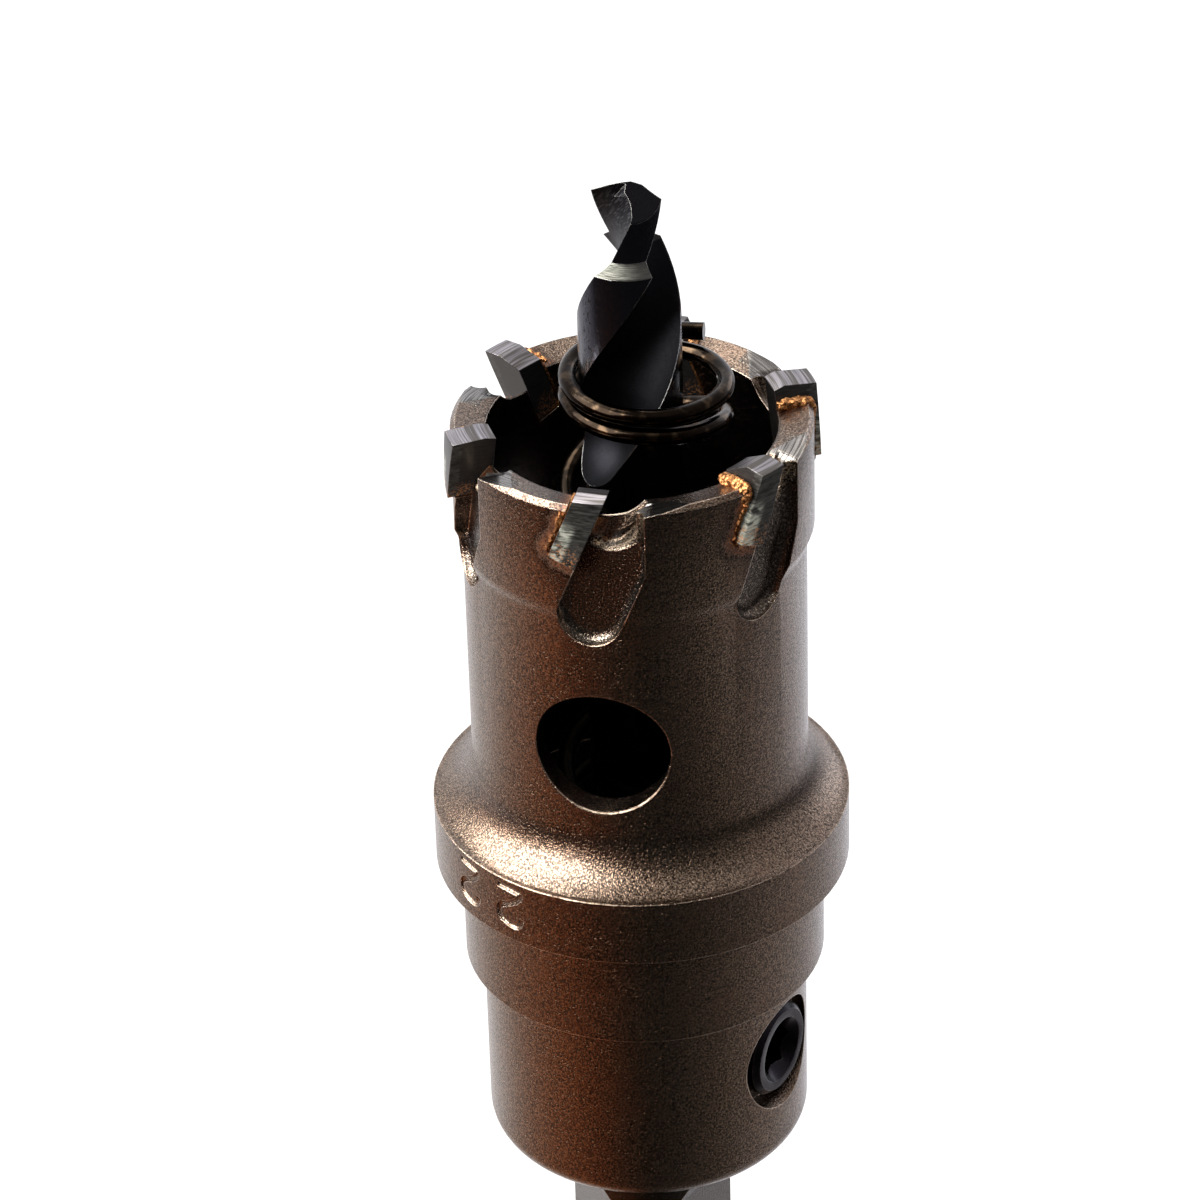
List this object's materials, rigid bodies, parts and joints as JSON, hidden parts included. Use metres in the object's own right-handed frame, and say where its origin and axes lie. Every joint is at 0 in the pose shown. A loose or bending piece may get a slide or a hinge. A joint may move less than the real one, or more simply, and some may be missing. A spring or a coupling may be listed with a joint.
{
  "type": "hole saw",
  "caption": "Hole saw: a toothed steel cup with chip gullets and side windows on a three-flat shank, with a pilot drill and an ejector spring inside.",
  "frame": {"origin": "centre of the shank's free end, where the part stands", "axes": "+Z along the tool's axis from the shank to the teeth, -Y the front, where one window and tooth_1 are"},
  "size_m": [0.025, 0.0251, 0.0934],
  "materials": {
    "body_steel": "bead-blasted dark bronze oxide",
    "tooth_carbide": "ground grey carbide",
    "braze": "cast granular filler",
    "drill_steel": "black oxide",
    "spring_wire": "dark drawn wire",
    "screw_steel": "black oxide"
  },
  "bodies": {
    "root": {"cutter_body": "body_steel", "tooth_1": "tooth_carbide", "tooth_2": "tooth_carbide", "tooth_3": "tooth_carbide", "tooth_4": "tooth_carbide", "tooth_5": "tooth_carbide", "tooth_6": "tooth_carbide", "braze_seam_1": "braze", "braze_seam_2": "braze", "braze_seam_3": "braze", "braze_seam_4": "braze", "braze_seam_5": "braze", "braze_seam_6": "braze", "pilot_drill": "drill_steel", "ejector_spring": "spring_wire", "set_screw": "screw_steel"}
  },
  "joints": []
}
